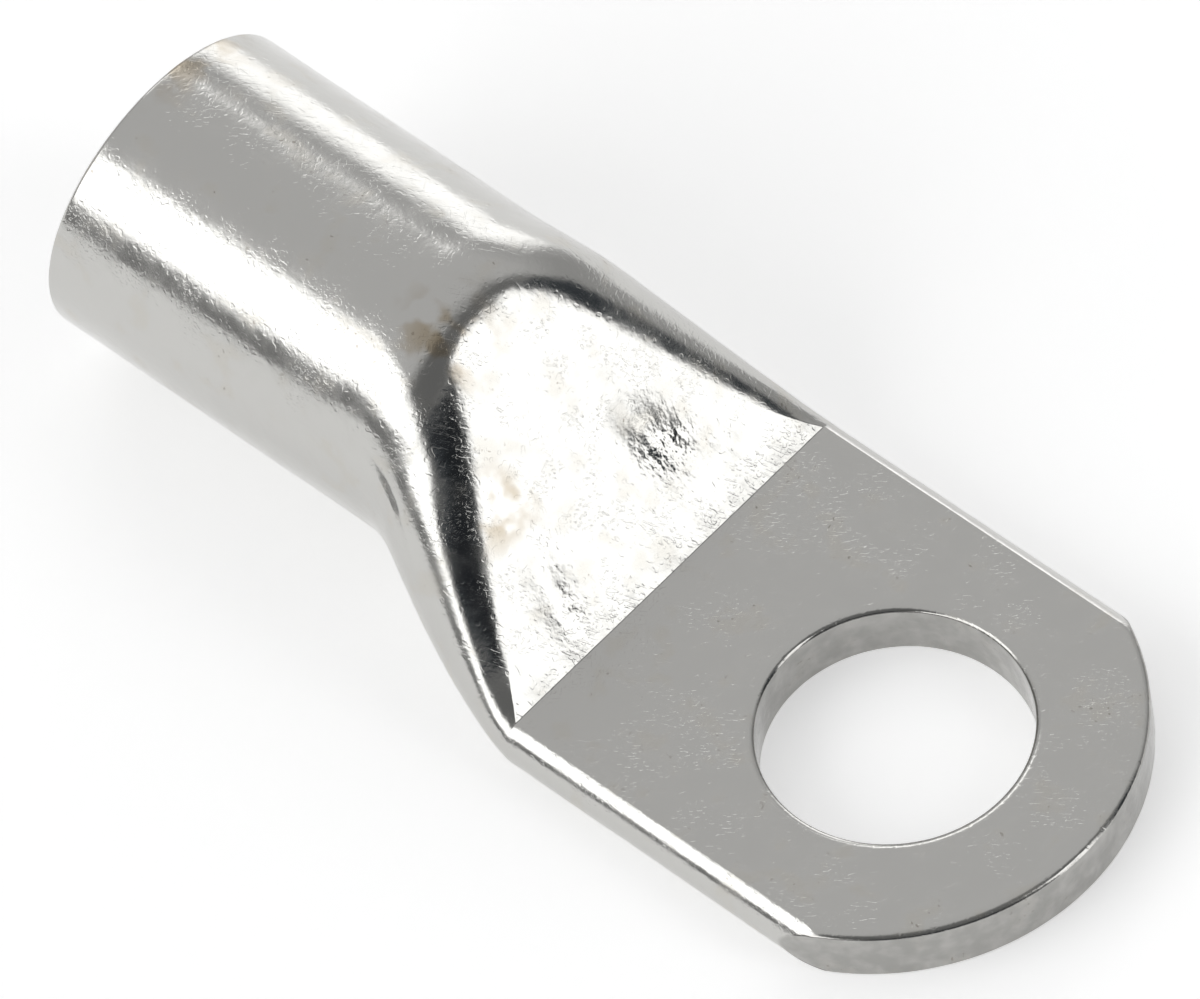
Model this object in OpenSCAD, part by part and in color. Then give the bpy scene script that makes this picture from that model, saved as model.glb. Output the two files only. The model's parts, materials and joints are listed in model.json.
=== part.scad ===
// Tubular cable lug for a stud: one length of copper tube, tin plated. One end stays round and takes
// the cable. A die presses the other end flat into a palm and leaves a sloping shield between the two.
// +X runs from the mouth to the tip of the palm, and +Z is up.
// The origin is the centre of the stud hole, on the underside of the palm.

/* [Tube] */
// Outer diameter of the tube
tube_d = 10.5; // [9:0.1:12]
// Wall thickness of the tube
wall = 1; // [0.8:0.05:1.3]
// Length of the tube behind the palm, from the crease to the middle of the mouth
tube_len = 20.35; // [15:0.05:40]
// Lean of the cut across the mouth, whose lower lip reaches further out
mouth_lean = 6; // [0:0.5:10]
// Chamfer round the outside of the mouth
mouth_chamfer = 0.15; // [0.1:0.05:0.5]

/* [Palm] */
// Width of the palm over its folded sides
palm_w = 15.05; // [13:0.05:15.8]
// How much thinner the pressed palm is than its two walls laid together
squeeze = 0.1; // [0:0.02:0.2]
// How far the folded sides bulge out past the flat faces
side_bulge = 0.58; // [0.3:0.02:0.7]
// Distance from the crease to the stud hole's axis
crease_to_stud = 9; // [7:0.25:14]
// Distance from the stud hole's axis to the tip of the palm
stud_to_tip = 7.5; // [6.5:0.25:12]
// Radius of the punched tip
tip_r = 8; // [7.95:0.05:12]

/* [Stud hole] */
// Diameter of the stud hole
stud_d = 8.4; // [5.3:0.1:10.5]
// Width of the rim that the punch draws down round the hole
rim_w = 0.28; // [0.1:0.02:0.5]
// Depth of that rim
rim_depth = 0.1; // [0.04:0.02:0.3]

/* [Pressed shield] */
// Horizontal run of the slope, from the crease up to the top of the tube
slope_run = 6.8; // [5:0.1:8]
// How strongly the slope bows between its foot and its shoulder, where 0 is flat
slope_bow = 0.35; // [0:0.05:0.6]
// Rounding of the shoulder, where the slope runs out on the tube
shoulder_round = 1.3; // [0.3:0.05:2]
// Distance from the crease to the point where the two edges of the shield would meet
shield_len = 7.25; // [5:0.05:8.5]
// How far the shield's tip is rounded out along the tube, as a share of its length
tip_blend = 0.25; // [0.05:0.05:0.35]
// How far the upper flanks' bend into the tube is rounded out, as a share of the slope's run
neck_blend = 0.35; // [0.15:0.05:0.45]
// Length from the crease over which the edge between flank and shield softens away
edge_run = 1.5; // [0.5:0.1:4]
// Width of the narrow facet that the edge of the die leaves along the crease
heel_w = 0.38; // [0.2:0.02:0.8]
// Height of that facet
heel_rise = 0.18; // [0.04:0.02:0.4]
// How soon the sides spread: 1 is evenly along the slope, more is nearer the tube
flare_power = 1.35; // [1:0.05:2]
// How far below mid-height the widest line of the flanks drops, as a share of the height
flank_drop = 0.1; // [0:0.01:0.15]

/* [Hidden] */

tube_r = tube_d / 2;
bore_r = tube_r - wall;
palm_t = 2 * wall - squeeze;
crease_x = -crease_to_stud;
mouth_x = crease_x - tube_len;
tip_x = stud_to_tip - tip_r;

// Top of the narrow facet, where the slope begins
heel_z = palm_t + heel_rise;

// A folded side is an arc through the two edges of the flats, with the bulge as its rise
side_r = (pow(side_bulge, 2) + pow(palm_t / 2, 2)) / (2 * side_bulge);
side_turn = acos(1 - side_bulge / side_r);
flat_half = palm_w / 2 - side_bulge;

// A loft joins a neighbour by running on into it for a lap, so that no two faces coincide
lap = 0.3;
hair = 0.01;       // how far a loft's skin lies off its neighbour's where they join
sink = 0.1;        // how deep its end is sunk
ridge = 0.02;      // half width left of a flat where it runs out
fold_gap = 0.1;    // room left beside the seam at the end of the cavity
seam_gap = 0.16;   // height at which the cavity ends, where the two walls meet
quarter_steps = 14;
loft_steps = 26;
soft_turn = 50;    // how far above its widest line a flank takes on the neck's soft bend, in degrees
cut = 1;           // how far a cutter stands clear of what it cuts

$fn = 96;

// The smaller of two lengths, with the corner between them rounded over the length r
function smooth_min(a, b, r) = min(a, b) - pow(max(r - abs(a - b), 0), 2) / (4 * r);

// An S-curve from 0 to 1
function ease(q) = 3 * q * q - 2 * q * q * q;

// Share of the slope's height reached at q, with q 0 at its foot and 1 at its top
function slope_share(q) = q < 1
    ? (1 - slope_bow) * q + slope_bow * ease(q)
    : 1 + (1 - slope_bow) * (q - 1);

// Height of the slope's die face at u, the distance back from the crease
function die_z(u) = u < heel_w
    ? palm_t + heel_rise * u / heel_w
    : heel_z + (tube_d - heel_z) * slope_share((u - heel_w) / (slope_run - heel_w));

// Height of the tube's top at u
function top_z(u) = u <= 0 ? palm_t : smooth_min(tube_d, die_z(u), shoulder_round);

// Distance from the crease at which the shoulder's rounding has run out
shoulder_end = slope_run
    + shoulder_round * (slope_run - heel_w) / ((1 - slope_bow) * (tube_d - heel_z));

// Length of tube that the press deforms, counted back from the crease, and the laps with the barrel
press_len = max(shoulder_end, slope_run * (1 + neck_blend), shield_len * (1 + tip_blend)) + 2 * lap;

// How round the tube is at u: 0 at the crease, 1 where the press hasn't reached
function roundness(u, blend = 0.1) = u <= 0 ? 0 : smooth_min(1, u / slope_run, blend);

// Half width of the tube at u, over its flanks
function half_w(u, blend = 0.1) =
    palm_w / 2 - (palm_w / 2 - tube_r) * pow(roundness(u, blend), flare_power);

// Half width of the shield's flat at u
function shield_half(u) =
    max(flat_half * (1 - smooth_min(1, max(u, 0) / shield_len, tip_blend)), ridge);

// Half width of the flat underside at u
function sole_half(u) = max(flat_half * pow(1 - roundness(u), 0.8), ridge);

// How far round a flank turns before a flat cuts it off: side_turn at the palm, 90 on the tube
function flank_turn(u) = side_turn + (90 - side_turn) * pow(min(max(u, 0) / edge_run, 1), 0.7);

// Height of the widest line, as a share of the section's height
function waist(u) = let (q = roundness(u)) 0.5 - flank_drop * 4 * q * (1 - q);

// One quarter of a section, as [y, z] points from its widest line to the edge of a flat. Its half
// width is w at the widest line and soft_w from soft_turn on
function quarter(w, soft_w, flat, z0, z1, turn) = [
    for (i = [0 : quarter_steps])
        let (a = turn * i / quarter_steps, wide = w + (soft_w - w) * ease(min(a / soft_turn, 1)))
        [wide - (wide - flat) * (1 - cos(a)) / (1 - cos(turn)), z0 + (z1 - z0) * sin(a) / sin(turn)]
];

function reversed(list) = [for (i = [len(list) - 1 : -1 : 0]) list[i]];
function mirrored(list) = [for (p = list) [-p[0], p[1]]];
function without_first(list) = [for (i = [1 : len(list) - 1]) list[i]];

// The closed section at u, drawn inwards from the tube's skin by inset
function section(u, inset) =
    let (
        w = half_w(u) - inset,
        soft_w = half_w(u, neck_blend) - inset,
        low = inset,
        high = top_z(u) - inset,
        mid = low + (high - low) * waist(u),
        turn = flank_turn(u),
        top = quarter(w, soft_w, min(shield_half(u), w - fold_gap), mid, high, turn),
        sole = quarter(w, w, min(sole_half(u), w - fold_gap), mid, low, turn),
        side = concat(reversed(sole), without_first(top))
    )
    concat(side, reversed(mirrored(side)));

// A closed solid through sections, each at its [distance from the crease, inset from the tube's skin]
module loft(stations) {
    rings = [for (s = stations) [for (p = section(s[0], s[1])) [crease_x - s[0], p[0], p[1]]]];
    n = len(rings[0]);
    last = (len(rings) - 1) * n;
    skin = [
        for (k = [0 : len(rings) - 2], i = [0 : n - 1])
            let (a = k * n + i, b = k * n + (i + 1) % n)
            each [[a, b, b + n], [a, b + n, a + n]]
    ];
    ends = [[for (i = [n - 1 : -1 : 0]) i], [for (i = [0 : n - 1]) last + i]];
    polyhedron(points = [for (r = rings) each r], faces = concat(skin, ends), convexity = 4);
}

// A cylinder along +X that starts at x, on the tube's axis
module along_tube(x, r, length) {
    translate([x, 0, tube_r]) rotate([0, 90, 0]) cylinder(h = length, r = r);
}

// Length of the round part of the tube, up to the middle of the lap
round_len = tube_len - press_len + lap / 2;

// Stations from start to the barrel, and through the lap with it: the skin stands a hair proud of the
// barrel's where that ends, then dives into it
function stations(start, inset) = concat(
    [for (i = [0 : loft_steps]) [start + (press_len - 2 * lap - start) * i / loft_steps, inset]],
    [[press_len - lap, inset - hair], [press_len, inset - hair], [press_len + lap, inset + sink]]
);

// The round barrel, trimmed at its mouth by a leaning 45 degree cone: its end cuts the mouth's face
// and its side the chamfer
module barrel() {
    trim_r = tube_r / cos(mouth_lean) - mouth_chamfer;
    reach = 2 * tube_len;
    intersection() {
        along_tube(mouth_x - tube_r, tube_r, round_len + tube_r);
        translate([mouth_x, 0, tube_r])
            rotate([0, 90 + mouth_lean, 0])
            cylinder(h = reach, r1 = trim_r, r2 = trim_r + reach);
    }
}

// The pressed length between barrel and palm
module shoulder() {
    loft(concat([[-lap, hair], [0, hair]], stations(heel_w, 0)));
}

// The flat palm: two walls folded at the sides, and a tip punched to an arc
module palm() {
    run = crease_to_stud + stud_to_tip;
    intersection() {
        translate([crease_x, 0, 0])
            rotate([90, 0, 90])
            linear_extrude(height = run + cut)
            palm_section();
        translate([0, 0, -cut])
            linear_extrude(height = palm_t + 2 * cut)
            palm_plan();
    }
}

module palm_section() {
    intersection() {
        translate([-palm_w / 2, 0]) square([palm_w, palm_t]);
        union() {
            translate([-flat_half, 0]) square([2 * flat_half, palm_t]);
            for (side = [-1, 1])
                translate([side * (palm_w / 2 - side_r), palm_t / 2]) circle(r = side_r);
        }
    }
}

module palm_plan() {
    translate([tip_x, 0]) circle(r = tip_r);
    translate([crease_x - cut, -tip_r]) square([tip_x - crease_x + cut, 2 * tip_r]);
}

// The cable's bore, from the mouth to where the press begins
module bore() {
    along_tube(mouth_x - tube_r, bore_r, round_len + tube_r);
}

// First distance from the crease at which the two walls stand apart
function seam_end(u) = top_z(u) - 2 * wall < seam_gap ? seam_end(u + 0.05) : u;

// The hollow past the bore, which tapers as the walls come together
module tapered_hollow() {
    loft(stations(seam_end(0), wall));
}

module stud_hole() {
    translate([0, 0, -cut]) cylinder(h = palm_t + 2 * cut, d = stud_d);
    translate([0, 0, palm_t - rim_depth])
        cylinder(h = 2 * rim_depth, r1 = stud_d / 2, r2 = stud_d / 2 + 2 * rim_w);
}

module lug() {
    color("silver")
    difference() {
        union() {
            barrel();
            shoulder();
            palm();
        }
        bore();
        tapered_hollow();
        stud_hole();
    }
}

lug();
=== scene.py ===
"""A tubular cable lug of tin-plated copper, lying on a pale floor under soft light.

Lengths are in millimetres up to the point where a mesh is made, and MM turns them into metres.
The lug's formulas are those of the part's source, so the dressed lug lies where the solid one does,
apart from the narrow facet along the crease, which rises 0.12 mm higher here.
"""

import json
import math
import random

import bmesh
import bpy
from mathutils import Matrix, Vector, noise


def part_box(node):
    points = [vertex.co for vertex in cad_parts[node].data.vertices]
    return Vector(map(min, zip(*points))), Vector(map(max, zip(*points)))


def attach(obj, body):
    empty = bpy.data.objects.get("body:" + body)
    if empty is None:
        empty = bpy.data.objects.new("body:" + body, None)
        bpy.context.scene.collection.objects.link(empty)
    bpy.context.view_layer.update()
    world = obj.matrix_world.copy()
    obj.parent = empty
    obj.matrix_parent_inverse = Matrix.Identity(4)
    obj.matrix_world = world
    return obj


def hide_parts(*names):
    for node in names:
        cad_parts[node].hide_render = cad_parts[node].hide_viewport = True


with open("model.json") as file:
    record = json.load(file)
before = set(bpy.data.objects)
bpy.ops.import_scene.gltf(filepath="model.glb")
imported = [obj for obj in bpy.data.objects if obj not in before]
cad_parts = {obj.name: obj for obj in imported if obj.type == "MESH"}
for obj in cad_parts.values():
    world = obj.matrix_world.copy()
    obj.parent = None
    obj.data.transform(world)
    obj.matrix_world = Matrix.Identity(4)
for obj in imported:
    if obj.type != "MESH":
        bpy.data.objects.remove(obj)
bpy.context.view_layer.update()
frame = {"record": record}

MM = 0.001


def mount(name):
    """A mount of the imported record."""
    return next(m for m in frame["record"]["mounts"] if m["name"] == name)


# ---------------------------------------------------------------- sizes read from the frame
BOX_LOW, BOX_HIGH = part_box("lug")
TUBE_R = mount("cable_barrel")["pos_m"][2] / MM
BORE_R = mount("cable_barrel")["dims"]["r_mm"]
MOUTH_X = mount("cable_barrel")["pos_m"][0] / MM
HOLE_R = mount("stud_hole")["dims"]["r_mm"]
PALM_T = mount("stud_hole")["dims"]["length_mm"]
TIP_END = BOX_HIGH.x / MM
PALM_HALF = BOX_HIGH.y / MM
TUBE_D = 2 * TUBE_R
WALL = TUBE_R - BORE_R

# ---------------------------------------------------------------- shape
# As in the part's source, apart from HEEL_RISE, which is 0.18 there
MOUTH_LEAN = math.radians(6)
TIP_R = 8.0
SIDE_BULGE = 0.58
CREASE_X = -9.0
RIM_W = 0.28
RIM_DEPTH = 0.1
SLOPE_RUN = 6.8
SLOPE_BOW = 0.35
SHOULDER_ROUND = 1.3
SHIELD_LEN = 7.25
TIP_BLEND = 0.25
NECK_BLEND = 0.35
EDGE_RUN = 1.5
HEEL_W = 0.38
HEEL_RISE = 0.3
FLARE_POWER = 1.35
FLANK_DROP = 0.1
SOFT_TURN = math.radians(50)
SEAM_GAP = 0.16
FOLD_GAP = 0.1
LAP = 0.3

PRESS_LEN = max(SLOPE_RUN * (1 + NECK_BLEND), SHIELD_LEN * (1 + TIP_BLEND)) + 2 * LAP

FLAT_HALF = PALM_HALF - SIDE_BULGE
SIDE_R = (SIDE_BULGE**2 + (PALM_T / 2) ** 2) / (2 * SIDE_BULGE)
SIDE_TURN = math.acos(1 - SIDE_BULGE / SIDE_R)
TIP_X = TIP_END - TIP_R

# Roundings too fine for the solid
MOUTH_OUTER = 0.15
MOUTH_INNER = 0.12
TIP_EDGE_W = 0.34
TIP_EDGE_DROP = 0.2
TIP_FOOT = 0.09
HOLE_FOOT = 0.06
RIM_DROP = 1.6 * RIM_DEPTH

# Density of the mesh: steps of a quarter section, cells in millimetres, and steps of each stretch
QUARTER = 48
CELL = 0.22
BEND_CELL = 0.13
EDGE_GAP = 0.035
BARREL_STEPS = 72
BORE_STEPS = 30
HOLLOW_STEPS = 32
PALM_ALONG = 56
PALM_ACROSS = 64
FACE_STEPS = 26


# ---------------------------------------------------------------- the lug's formulas
def smooth_min(a, b, r):
    """The smaller of two lengths, with the corner between them rounded over the length r."""
    return min(a, b) - max(r - abs(a - b), 0) ** 2 / (4 * r)


def ease(q):
    """An S-curve from 0 to 1."""
    return 3 * q * q - 2 * q**3


def slope_share(q):
    """Share of the slope's height reached at q."""
    if q > 1:
        return 1 + (1 - SLOPE_BOW) * (q - 1)
    return (1 - SLOPE_BOW) * q + SLOPE_BOW * ease(q)


def die_z(u):
    """Height of the die's face at u, the distance back from the crease."""
    heel_z = PALM_T + HEEL_RISE
    if u < HEEL_W:
        return PALM_T + HEEL_RISE * u / HEEL_W
    return heel_z + (TUBE_D - heel_z) * slope_share((u - HEEL_W) / (SLOPE_RUN - HEEL_W))


def top_z(u):
    """Height of the tube's top at u."""
    return smooth_min(TUBE_D, die_z(u), SHOULDER_ROUND)


def roundness(u, blend=0.1):
    """How round the tube is at u: 0 at the crease, 1 where the press hasn't reached."""
    return smooth_min(1, u / SLOPE_RUN, blend)


def half_w(u, blend=0.1):
    """Half width of the tube at u."""
    return PALM_HALF - (PALM_HALF - TUBE_R) * roundness(u, blend) ** FLARE_POWER


def shield_half(u):
    """Half width of the shield's flat at u."""
    return max(FLAT_HALF * (1 - smooth_min(1, u / SHIELD_LEN, TIP_BLEND)), 0)


def sole_half(u):
    """Half width of the flat underside at u."""
    return FLAT_HALF * (1 - roundness(u)) ** 0.8


def flank_turn(u):
    """How far round a flank turns before a flat cuts it off."""
    return SIDE_TURN + (math.pi / 2 - SIDE_TURN) * min(u / EDGE_RUN, 1) ** 0.7


def quarter(w, flat, z0, z1, turn, soft_w):
    """One quarter of a section, as (y, z) from its widest line to the edge of a flat."""
    points = []
    for i in range(QUARTER + 1):
        a = turn * i / QUARTER
        wide = w + (soft_w - w) * ease(min(a / SOFT_TURN, 1))
        y = wide - (wide - flat) * (1 - math.cos(a)) / (1 - math.cos(turn))
        points.append((y, z0 + (z1 - z0) * math.sin(a) / math.sin(turn)))
    return points


def flank(u, inset=0.0):
    """The right half of the section at u, from the sole's edge up to the shield's edge."""
    w = half_w(u) - inset
    q = roundness(u)
    low, high = inset, top_z(u) - inset
    mid = low + (high - low) * (0.5 - FLANK_DROP * 4 * q * (1 - q))
    turn = flank_turn(u)
    room = w - (FOLD_GAP if inset else 0)
    over = quarter(w, min(shield_half(u), room), mid, high, turn, half_w(u, NECK_BLEND) - inset)
    under = quarter(w, min(sole_half(u), room), mid, low, turn, w)
    return under[::-1] + over[1:]


def spread(half, cell=CELL):
    """Places from -half to half, about a cell apart, with a narrow cell at either end."""
    if half <= 0:
        return [0.0]
    if half < 2 * EDGE_GAP:
        return [-half, half]
    inner = half - EDGE_GAP
    n = max(2, round(2 * inner / cell))
    return [-half] + [-inner + 2 * inner * i / n for i in range(n + 1)] + [half]


# ---------------------------------------------------------------- mesh building
class Skin:
    """Points and faces of one closed surface, put together row by row."""

    def __init__(self):
        self.points = []
        self.faces = []

    def row(self, points):
        """Adds points, and returns their numbers."""
        first = len(self.points)
        self.points.extend(points)
        return list(range(first, len(self.points)))

    def strip(self, a, b):
        """Fills the strip between two rows, which may differ in length."""
        i, j = 0, 0
        n, m = len(a) - 1, len(b) - 1
        while i < n or j < m:
            ahead = (i + 1) / n - (j + 1) / m if n and m else 0
            near = n and m and abs(ahead) < 0.6 * min(1 / n, 1 / m)
            if i < n and j < m and near:
                corners = (a[i], a[i + 1], b[j + 1], b[j])
                i, j = i + 1, j + 1
            elif j == m or (i < n and ahead < 0):
                corners = (a[i], a[i + 1], b[j])
                i += 1
            else:
                corners = (a[i], b[j + 1], b[j])
                j += 1
            self.faces.append(tuple(dict.fromkeys(corners)))

    def strips(self, rows):
        """Fills the strips between each row and the next."""
        for a, b in zip(rows, rows[1:]):
            self.strip(a, b)


class Ring:
    """One section of the tube: a row up each flank, and one across the shield and the sole."""

    def __init__(self, skin, place, half, shield, sole):
        """place(y, z) gives a point, half is the right flank, shield and sole are half widths."""
        self.right = skin.row([place(y, z) for y, z in half])
        left = [place(-y, z) for y, z in half]
        high_z, low_z = half[-1][1], half[0][1]
        if shield > 0:
            last = skin.row(left[-1:])
        else:
            last = self.right[-1:]
        if sole > 0:
            first = skin.row(left[:1])
        else:
            first = self.right[:1]
        self.left = first + skin.row(left[1:-1]) + last
        across = self.between(skin, place, shield, high_z)
        under = self.between(skin, place, sole, low_z)
        self.shield = last + across + self.right[-1:] if shield > 0 else last
        self.sole = first + under + self.right[:1] if sole > 0 else first

    @staticmethod
    def between(skin, place, half, z):
        """The row across a flat of this half width, without its two ends."""
        return skin.row([place(y, z) for y in spread(half)[1:-1]]) if half > 0 else []


def join(skin, rings):
    """Fills the skin between each ring and the next."""
    for part in ("left", "right", "shield", "sole"):
        skin.strips([getattr(r, part) for r in rings])


def fine_steps(start, end, cell, first=()):
    """Places from start to end about a cell apart, after those in first."""
    begin = first[-1] if first else start
    n = max(1, round((end - begin) / cell))
    counts = range(1 if first else 0, n + 1)
    return list(first) + [begin + (end - begin) * i / n for i in counts]


def tube_ring(skin, u, inset=0.0):
    """A ring of the pressed length."""
    half = flank(u, inset)
    shield = half[-1][0]
    sole = half[0][0]
    return Ring(skin, lambda y, z: (CREASE_X - u, y, z), half, shield, sole)


def round_half(r):
    """The right half of a circle round the tube's axis, from its bottom to its top."""
    n = 2 * QUARTER
    turns = [math.pi * i / n for i in range(n + 1)]
    return [(r * math.sin(a), TUBE_R - r * math.cos(a)) for a in turns]


def mouth_at(z):
    """Where the leaning cut across the mouth lies, at height z."""
    return MOUTH_X + (z - TUBE_R) * math.tan(MOUTH_LEAN)


def barrel_ring(skin, r, share, depth):
    """A ring of the barrel: share 0 is at the press's end, 1 is depth inside the mouth."""
    start = CREASE_X - PRESS_LEN

    def place(y, z):
        end = mouth_at(z) + depth
        return (start + (end - start) * share, y, z)

    return Ring(skin, place, round_half(r), 0, 0)


def outer_skin(skin):
    """The tube's outside, from the crease to the mouth."""
    near = [0, 0.03, 0.08, 0.2, HEEL_W - 0.05, HEEL_W, HEEL_W + 0.05, HEEL_W + 0.15]
    bends = fine_steps(0, PRESS_LEN, BEND_CELL, near)
    rings = [tube_ring(skin, u) for u in bends]
    for i in range(1, BARREL_STEPS + 1):
        rings.append(barrel_ring(skin, TUBE_R, i / BARREL_STEPS, MOUTH_OUTER))
    return rings


def mouth_rim(skin):
    """The rounded end face, from the outside to the bore."""
    rings = []
    n = 6
    for i in range(1, n + 1):
        b = math.pi / 2 * i / n
        r = TUBE_R - MOUTH_OUTER * (1 - math.cos(b))
        rings.append(barrel_ring(skin, r, 1, MOUTH_OUTER * (1 - math.sin(b))))
    flat = [0.03, 0.25, 0.5, 0.75, 0.97]
    outer, inner = TUBE_R - MOUTH_OUTER, BORE_R + MOUTH_INNER
    rings += [barrel_ring(skin, outer + (inner - outer) * s, 1, 0) for s in flat]
    for i in range(n + 1):
        b = math.pi / 2 * i / n
        r = BORE_R + MOUTH_INNER * (1 - math.sin(b))
        rings.append(barrel_ring(skin, r, 1, MOUTH_INNER * (1 - math.cos(b))))
    return rings


def inner_skin(skin):
    """The bore and the tapered hollow, from the mouth to where the two walls meet."""
    rings = []
    for i in range(1, BORE_STEPS):
        rings.append(barrel_ring(skin, BORE_R, 1 - i / BORE_STEPS, MOUTH_INNER))
    end = 0.0
    while top_z(end) - 2 * WALL < SEAM_GAP:
        end += 0.05
    for i in range(HOLLOW_STEPS + 1):
        rings.append(tube_ring(skin, PRESS_LEN + (end - PRESS_LEN) * i / HOLLOW_STEPS, WALL))
    return rings


def close_seam(skin, ring):
    """Closes the hollow's end."""
    skin.strip(ring.shield, ring.sole)
    for row in (ring.left, ring.right):
        over = row[QUARTER:]
        under = row[QUARTER::-1]
        skin.strip(over, under)


def edge_inset(z):
    """How far the punched tip's rounded edges draw in at height z."""
    edges = ((PALM_T - z, TIP_EDGE_W, TIP_EDGE_DROP), (z, TIP_FOOT, TIP_FOOT))
    for depth, width, drop in edges:
        if depth < drop:
            into = min(1 - depth / drop, 1)
            return width * (1 - math.sqrt(1 - into * into))
    return 0.0


def palm_rows(skin, ring):
    """The palm's sides and its punched tip, as one row for each level of the crease's ring."""
    rows = []
    for left, right in zip(ring.left, ring.right):
        _, y, z = skin.points[right]
        r = TIP_R - edge_inset(z)
        corner = TIP_X + math.sqrt(r * r - y * y)
        run = corner - CREASE_X
        side = [CREASE_X + run * i / PALM_ALONG for i in range(1, PALM_ALONG + 1)]
        turn = math.asin(y / r)
        arc = [-turn + 2 * turn * i / PALM_ACROSS for i in range(1, PALM_ACROSS)]
        tip = [(TIP_X + r * math.cos(a), r * math.sin(a), z) for a in arc]
        points = [(x, -y, z) for x in side] + tip + [(x, y, z) for x in reversed(side)]
        rows.append([left] + skin.row(points) + [right])
    return rows


def radial_rows(skin, outline, inner, z, steps):
    """A flat face from an outline to a circle round the stud hole. Returns the circle's row."""
    rows = [outline]
    starts = []
    for number in outline:
        x, y, _ = skin.points[number]
        d = math.hypot(x, y)
        starts.append((x, y, inner * x / d, inner * y / d))
    even = [0.03 + 0.94 * i / steps for i in range(steps + 1)]
    for s in [0.004, 0.012] + even + [0.99, 1]:
        points = [(x + (cx - x) * s, y + (cy - y) * s, z) for x, y, cx, cy in starts[:-1]]
        row = skin.row(points)
        rows.append(row + row[:1])
    skin.strips(rows)
    return rows[-1]


def hole_rows(skin, top, bottom):
    """The stud hole, from the drawn-down rim through the wall to its foot."""
    bearings = [math.atan2(skin.points[k][1], skin.points[k][0]) for k in top[:-1]]
    rows = [top]
    n = 8
    profile = []
    for i in range(1, n + 1):
        b = math.pi / 2 * i / n
        r, z = HOLE_R + RIM_W * (1 - math.sin(b)), PALM_T - RIM_DROP * (1 - math.cos(b))
        profile.append((r, z))
    wall_top, wall_foot = profile[-1][1], HOLE_FOOT
    for s in (0.02, 0.2, 0.4, 0.6, 0.8, 0.98, 1):
        profile.append((HOLE_R, wall_top + (wall_foot - wall_top) * s))
    for i in range(1, 4):
        b = math.pi / 2 * i / 4
        profile.append((HOLE_R + HOLE_FOOT * (1 - math.cos(b)), HOLE_FOOT * (1 - math.sin(b))))
    for r, z in profile:
        row = skin.row([(r * math.cos(a), r * math.sin(a), z) for a in bearings])
        rows.append(row + row[:1])
    rows.append(bottom)
    skin.strips(rows)


def lug_skin():
    """The whole surface of the lug."""
    skin = Skin()
    outside = outer_skin(skin)
    rings = outside + mouth_rim(skin) + inner_skin(skin)
    join(skin, rings)
    close_seam(skin, rings[-1])
    crease = outside[0]
    sides = palm_rows(skin, crease)
    skin.strips(sides)
    top_line = sides[-1] + crease.shield[-2::-1]
    low_line = sides[0] + crease.sole[-2::-1]
    top = radial_rows(skin, top_line, HOLE_R + RIM_W, PALM_T, FACE_STEPS)
    # the underside takes the bearings of the top face, so that the hole's rows match
    bottom = radial_rows(skin, low_line, HOLE_R + HOLE_FOOT, 0.0, FACE_STEPS)
    hole_rows(skin, top, bottom)
    return skin


# ---------------------------------------------------------------- relief
# Shallow hollows that the press leaves in the shield and at the neck: distance from the crease,
# place across, turn of the long axis in degrees, half length, half width and depth
HOLLOWS = (
    (2.4, 2.3, -36, 1.5, 0.9, 0.13),
    (1.3, 4.2, -42, 0.9, 0.5, 0.035),
    (1.4, -3.4, 15, 1.5, 0.9, 0.08),
    (5.6, -4.6, 0, 1.6, 1.3, 0.16),
)
# How far below the tube's top the hollows end
HOLLOW_REACH = 3
DENT_COUNT = 60
DENT_SEED = 8
# Waviness: length and height of each wave, and how far its middle is sunk, as a share of its height
WAVE_SIZES = ((2.6, 0.006), (1.1, 0.002))
WAVE_SINK = 0.6


def bell(d):
    """A smooth bump of height 1 at d = 0, gone by about d = 2."""
    return math.exp(-2 * d * d)


def hollow_depth(p):
    """Depth of the hollows at a point."""
    u = CREASE_X - p.x
    total = 0.0
    for at_u, at_y, turn, long, wide, depth in HOLLOWS:
        a = math.radians(turn)
        du, dy = u - at_u, p.y - at_y
        along = du * math.cos(a) + dy * math.sin(a)
        aside = dy * math.cos(a) - du * math.sin(a)
        total += depth * bell(math.hypot(along / long, aside / wide))
    return total


def dents(skin_points):
    """Small knocks scattered over the outside: place, radius and depth."""
    chance = random.Random(DENT_SEED)
    made = []
    for _ in range(DENT_COUNT):
        place = Vector(chance.choice(skin_points))
        made.append((place, chance.uniform(0.25, 0.6), chance.uniform(0.003, 0.012)))
    return made


def relief(p, normal, knocks):
    """How far the skin lies off its true form at p, in millimetres along the normal."""
    offset = 0.0
    for size, height in WAVE_SIZES:
        offset += height * (noise.noise(p / size) - WAVE_SINK)
    if normal.z > 0 and p.z > top_z(CREASE_X - p.x) - HOLLOW_REACH:
        offset -= hollow_depth(p)
    for place, radius, depth in knocks:
        d = (p - place).length / radius
        if d < 2:
            offset -= depth * bell(d)
    return offset


def shown(skin, name):
    """Makes a smooth mesh object of a skin, with its relief."""
    mesh = bpy.data.meshes.new(name)
    mesh.from_pydata([Vector(p) for p in skin.points], [], skin.faces)
    work = bmesh.new()
    work.from_mesh(mesh)
    bmesh.ops.recalc_face_normals(work, faces=work.faces)
    work.normal_update()
    knocks = dents(skin.points)
    moves = [relief(v.co, v.normal, knocks) for v in work.verts]
    for v, move in zip(work.verts, moves):
        v.co = (v.co + v.normal * move) * MM
    work.to_mesh(mesh)
    work.free()
    mesh.shade_smooth()
    thing = bpy.data.objects.new(name, mesh)
    bpy.context.scene.collection.objects.link(thing)
    return thing


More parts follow.
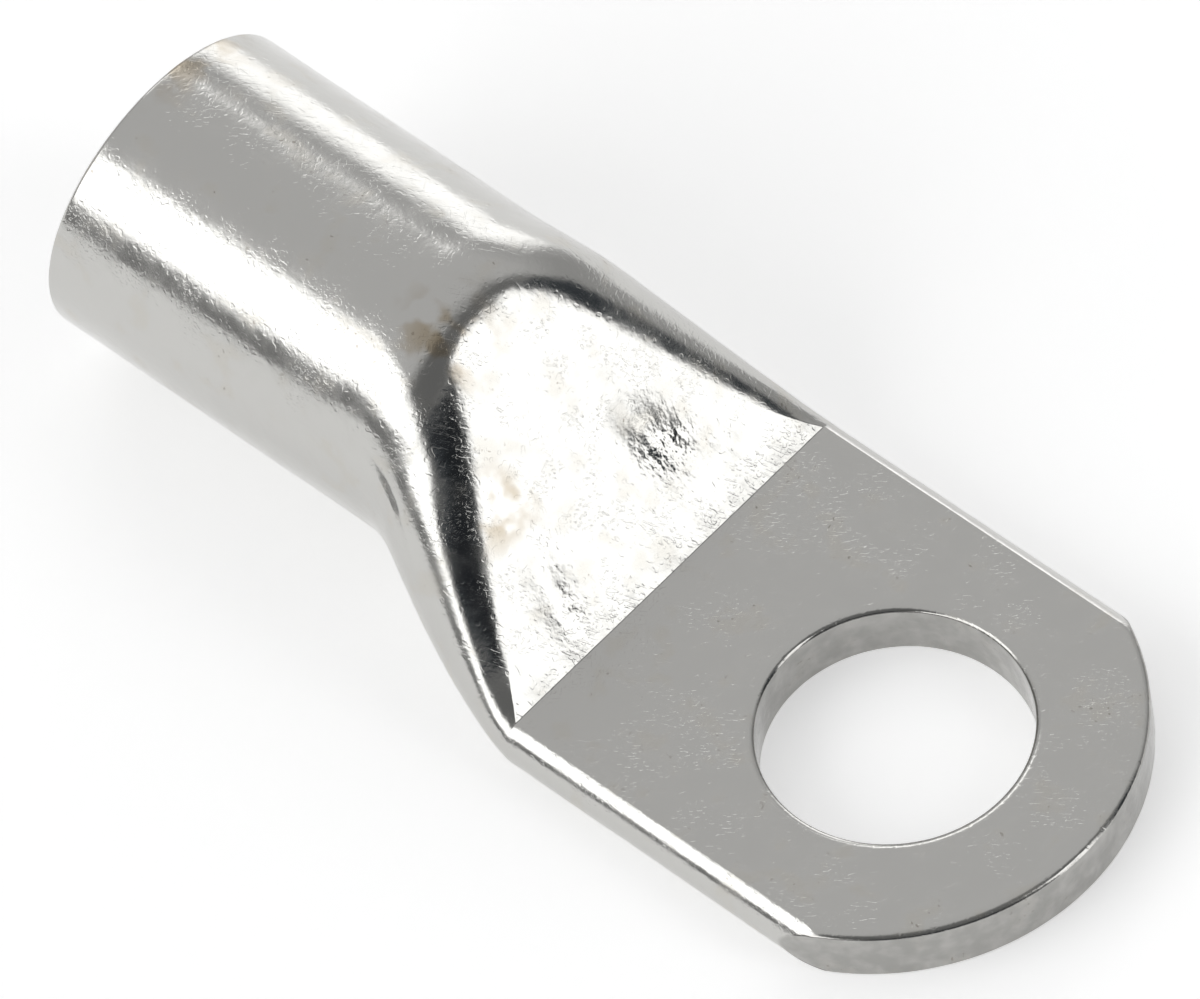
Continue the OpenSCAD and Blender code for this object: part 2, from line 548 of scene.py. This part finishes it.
# ---------------------------------------------------------------- node helpers
class Graph:
    """Adds nodes to a tree and links them. A place in a formula takes a number or a socket."""

    def __init__(self, tree):
        self.tree = tree

    def add(self, kind, **settings):
        node = self.tree.nodes.new(kind)
        for name, value in settings.items():
            setattr(node, name, value)
        return node

    def feed(self, socket, value):
        if isinstance(value, bpy.types.NodeSocket):
            self.tree.links.new(value, socket)
        else:
            socket.default_value = value

    def math(self, operation, *values):
        node = self.add("ShaderNodeMath", operation=operation)
        for socket, value in zip(node.inputs, values):
            self.feed(socket, value)
        return node.outputs[0]

    def step(self, value, low, high, out_low=0.0, out_high=1.0):
        """A smooth step of value, from low to high."""
        node = self.add("ShaderNodeMapRange", interpolation_type="SMOOTHSTEP")
        for socket, number in zip(node.inputs, (value, low, high, out_low, out_high)):
            self.feed(socket, number)
        return node.outputs[0]

    def scaled(self, vector, by):
        """A vector times a number, or times one number for each axis."""
        node = self.add("ShaderNodeVectorMath", operation="MULTIPLY")
        self.feed(node.inputs[0], vector)
        node.inputs[1].default_value = by if isinstance(by, tuple) else (by, by, by)
        return node.outputs[0]

    def noise(self, at, scale, detail):
        """Noise of about 0 to 1, with scale blobs to the unit of at."""
        node = self.add("ShaderNodeTexNoise")
        self.feed(node.inputs["Vector"], at)
        node.inputs["Scale"].default_value = scale
        node.inputs["Detail"].default_value = detail
        return node.outputs["Fac"]

    def strokes(self, at, turn):
        """1 on short fine strokes that run along one direction, given as a turn in degrees."""
        node = self.add("ShaderNodeMapping", vector_type="TEXTURE")
        self.feed(node.inputs["Vector"], at)
        node.inputs["Rotation"].default_value = [math.radians(a) for a in turn]
        node.inputs["Scale"].default_value = (0.9, 0.08, 0.08)
        return self.step(self.noise(node.outputs[0], 1, 0), 0.64, 0.72)

    def distance(self, at, place):
        node = self.add("ShaderNodeVectorMath", operation="DISTANCE")
        self.feed(node.inputs[0], at)
        node.inputs[1].default_value = place
        return node.outputs["Value"]

    def sum(self, *terms):
        """The sum of (socket, factor) pairs."""
        total = 0.0
        for socket, factor in terms:
            total = self.math("MULTIPLY_ADD", socket, factor, total)
        return total

    def dot(self, vector, axis):
        node = self.add("ShaderNodeVectorMath", operation="DOT_PRODUCT")
        self.feed(node.inputs[0], vector)
        node.inputs[1].default_value = axis
        return node.outputs["Value"]

    def mix(self, share, a, b):
        """Between two numbers."""
        node = self.add("ShaderNodeMix", data_type="FLOAT")
        for socket, value in zip((node.inputs[0], node.inputs[2], node.inputs[3]), (share, a, b)):
            self.feed(socket, value)
        return node.outputs[0]

    def mix_colour(self, share, a, b):
        """Between two colours."""
        node = self.add("ShaderNodeMix", data_type="RGBA")
        for socket, value in zip((node.inputs[0], node.inputs[6], node.inputs[7]), (share, a, b)):
            self.feed(socket, value)
        return node.outputs[2]


def grey(level, warmth=0.0):
    """A grey, drawn towards cream by warmth."""
    return (level, level * (1 - 0.3 * warmth), level * (1 - warmth), 1)


def new_material(name):
    """A material with a Principled shader. Returns it, its graph and the shader."""
    made = bpy.data.materials.new(name)
    made.use_nodes = True
    return made, Graph(made.node_tree), made.node_tree.nodes["Principled BSDF"]


# ---------------------------------------------------------------- materials
TIN = (0.56, 0.555, 0.535, 1)
TIN_WARM = (0.545, 0.52, 0.465, 1)
# A darker grey: painted shade on the stud hole's wall, and the plain tone of the tip's punched arc
# face.
HOLE_SHADE_AND_TIP_GREY = (0.37, 0.365, 0.35, 1)
STAIN = (0.38, 0.32, 0.235, 1)
SPECK = (0.12, 0.085, 0.05, 1)
# Scuffed places on the shield: place, reach and depth
SCUFFS = (
    ((-11.1, 2.5, 4.1), 2.2, 0.07),
    ((-10.2, -3.3, 2.9), 1.9, 0.026),
)
# Where dirt has gathered: place and reach
STAINS = (
    ((-29.6, 1.5, 10.2), 3.2),
    ((-12.6, -3.2, 5.8), 1.9),
    ((-15.6, -1.5, 10.0), 2.4),
)


def tin():
    """Tin plating: bright, with a fine grain, short scratches, pits, a little tarnish and dirt, and
    painted shade on the stud hole's wall.
    """
    made, graph, shader = new_material("tin_plating")
    at = graph.scaled(graph.add("ShaderNodeTexCoord").outputs["Object"], 1 / MM)
    worn = graph.step(graph.noise(at, 0.8, 0), 0.4, 0.65)
    strokes = graph.math("ADD", graph.strokes(at, (0, 20, 35)), graph.strokes(at, (30, -25, -50)))
    height = graph.sum(
        (graph.noise(at, 3.2, 2), 0.007),
        (graph.math("MULTIPLY", strokes, worn), -0.0018),
        (graph.step(graph.noise(at, 5.5, 0), 0.62, 0.74), -0.002),
    )
    rough_spot = graph.noise(at, 2.8, 2)
    for place, radius, depth in SCUFFS:
        near = graph.step(graph.distance(at, place), 0, radius, depth, 0)
        height = graph.math("MULTIPLY_ADD", near, rough_spot, height)
    bump = graph.add("ShaderNodeBump")
    bump.inputs["Distance"].default_value = MM
    graph.feed(bump.inputs["Height"], height)
    graph.feed(shader.inputs["Normal"], bump.outputs["Normal"])

    patches = graph.noise(at, 0.9, 2)
    tarnish = graph.step(patches, 0.55, 0.7, 0, 0.35)
    dirt = 0.0
    for place, radius in STAINS:
        close = graph.step(graph.distance(at, place), 0, radius, 1, 0)
        spot = graph.math("MULTIPLY", close, graph.step(patches, 0.42, 0.6))
        dirt = graph.math("MAXIMUM", dirt, spot)
    colour = graph.mix_colour(dirt, graph.mix_colour(tarnish, TIN, TIN_WARM), STAIN)
    flat = graph.scaled(at, (1, 1, 0))
    # Painted shade: the stud hole's wall is darkened as though shade falls inside the hole. The
    # tip's punched arc face, past its rounded edge, takes the same darker grey.
    hole_wall_shade = graph.step(graph.distance(flat, (0, 0, 0)), HOLE_R + 0.03, HOLE_R + 0.1, 1, 0)
    past_arc = graph.step(graph.distance(flat, (TIP_X, 0, 0)), TIP_R - 0.12, TIP_R - 0.04)
    at_tip = graph.math("GREATER_THAN", graph.dot(at, (1, 0, 0)), 0)
    punched = graph.math("MAXIMUM", hole_wall_shade, graph.math("MULTIPLY", past_arc, at_tip))
    hole_shade_and_tip_grey = graph.math("MULTIPLY", punched, graph.step(graph.noise(at, 1.6, 2), 0.2, 0.7, 0.5, 1))
    colour = graph.mix_colour(hole_shade_and_tip_grey, colour, HOLE_SHADE_AND_TIP_GREY)
    specks = graph.math("MULTIPLY", graph.step(graph.noise(at, 6.5, 0), 0.74, 0.8), tarnish)
    graph.feed(shader.inputs["Base Color"], graph.mix_colour(specks, colour, SPECK))
    shader.inputs["Metallic"].default_value = 1
    graph.feed(shader.inputs["Roughness"], graph.step(patches, 0.3, 0.7, 0.13, 0.22))
    return made


def seen_directly(graph):
    """1 for rays that show the background: the camera's, and those off metal or through glass."""
    path = graph.add("ShaderNodeLightPath")
    either = graph.math("MAXIMUM", path.outputs["Is Camera Ray"], path.outputs["Is Glossy Ray"])
    return graph.math("MAXIMUM", either, path.outputs["Is Transmission Ray"])


def floor_paint():
    """White paper, lifted to white where it is seen, with the object's shadow kept."""
    made, graph, shader = new_material("floor_paint")
    shader.inputs["Base Color"].default_value = grey(0.88)
    shader.inputs["Roughness"].default_value = 0.9
    shader.inputs["Specular IOR Level"].default_value = 0.1
    shader.inputs["Emission Color"].default_value = grey(1)
    lift = graph.math("MULTIPLY", seen_directly(graph), FLOOR_LIFT)
    graph.feed(shader.inputs["Emission Strength"], lift)
    return made


# ---------------------------------------------------------------- the stage
FLOOR_HALF = 0.6
FLOOR_Z = -0.03 * MM
FLOOR_LIFT = 0.42
# Lights and dark parts of the studio: bearing and height of the middle, half width, half height
# and softness of the edge, all in degrees, and brightness
PANELS = (
    ("ceiling", 0, 90, 50, 50, 8, 0.64),
    ("left softbox", -105, 32, 33, 17, 3, 2.4),
    ("left wall", -112, 4, 45, 9, 4, 0.25),
    ("far wall", 66, 14, 30, 14, 8, 0.42),
    ("far panel", 120, 7, 10, 14, 7, 1.9),
    ("far corner", 147, 35, 13, 5.5, 3, 2.2),
    ("camera", -22, 27, 36, 13, 6, 0.02),
    ("above the camera", -15, 60, 48, 22, 8, 0.18),
    ("beside the softbox", 43, 22, 13, 18, 5, 0.05),
    ("back softbox", 23, 22, 10, 26, 3, 2.05),
)
ROOM_LEVEL = 0.52
DARK_TINT = (0.8, 0.95, 1.12, 1)


def floor():
    """A pale floor, a hair below the lug."""
    mesh = bpy.data.meshes.new("floor")
    signs = ((-1, -1), (1, -1), (1, 1), (-1, 1))
    corners = [(x * FLOOR_HALF, y * FLOOR_HALF, FLOOR_Z) for x, y in signs]
    mesh.from_pydata(corners, [], [(0, 1, 2, 3)])
    thing = bpy.data.objects.new("floor", mesh)
    thing.data.materials.append(floor_paint())
    bpy.context.scene.collection.objects.link(thing)


def light_room():
    """The studio: a grey room with soft-edged panels."""
    world = bpy.data.worlds.new("room")
    world.use_nodes = True
    world.cycles.sampling_method = "MANUAL"
    world.cycles.sample_map_resolution = 256
    bpy.context.scene.world = world
    graph = Graph(world.node_tree)
    way = graph.add("ShaderNodeTexCoord").outputs["Generated"]
    level = ROOM_LEVEL
    for _, bearing, height, half_width, half_height, soft, bright in PANELS:
        a, e = math.radians(bearing), math.radians(height)
        out = Vector((math.cos(a) * math.cos(e), math.sin(a) * math.cos(e), math.sin(e)))
        side = Vector((-math.sin(a), math.cos(a), 0))
        up = out.cross(side)
        inside = None
        for half, across in ((half_width, side), (half_height, up)):
            for way_in in (across, -across):
                edge = out * math.sin(math.radians(half)) + way_in * math.cos(math.radians(half))
                past = graph.dot(way, edge)
                inside = past if inside is None else graph.math("MINIMUM", inside, past)
        blur = math.sin(math.radians(soft))
        level = graph.mix(graph.step(inside, -blur, blur), level, bright)
    background = world.node_tree.nodes["Background"]
    graph.feed(background.inputs["Strength"], level)
    tint = graph.mix_colour(graph.step(level, 0.02, 0.2), DARK_TINT, grey(1))
    graph.feed(background.inputs["Color"], tint)


def camera():
    """The photograph's view."""
    data = bpy.data.cameras.new("view")
    data.lens = 482.12
    data.sensor_width = 36
    data.clip_start = 0.05
    data.clip_end = 20
    thing = bpy.data.objects.new("view", data)
    thing.location = (0.21124, -0.18199, 0.389202)
    thing.rotation_euler = [math.radians(a) for a in (36.254879, 6.307382, 42.24709)]
    bpy.context.scene.collection.objects.link(thing)
    bpy.context.scene.camera = thing


camera()
skin = lug_skin()
lug = shown(skin, "tinned_lug")
lug.data.materials.append(tin())
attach(lug, "root")
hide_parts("lug")
floor()
light_room()

scene = bpy.context.scene
scene.view_settings.view_transform = "Standard"
scene.cycles.max_bounces = 8
scene.cycles.diffuse_bounces = 2
scene.cycles.glossy_bounces = 8
# Sampling stops early where a pixel has settled, which shortens a render at full size.
# A render at full size stays well under its time limit with this
scene.cycles.adaptive_threshold = 0.03
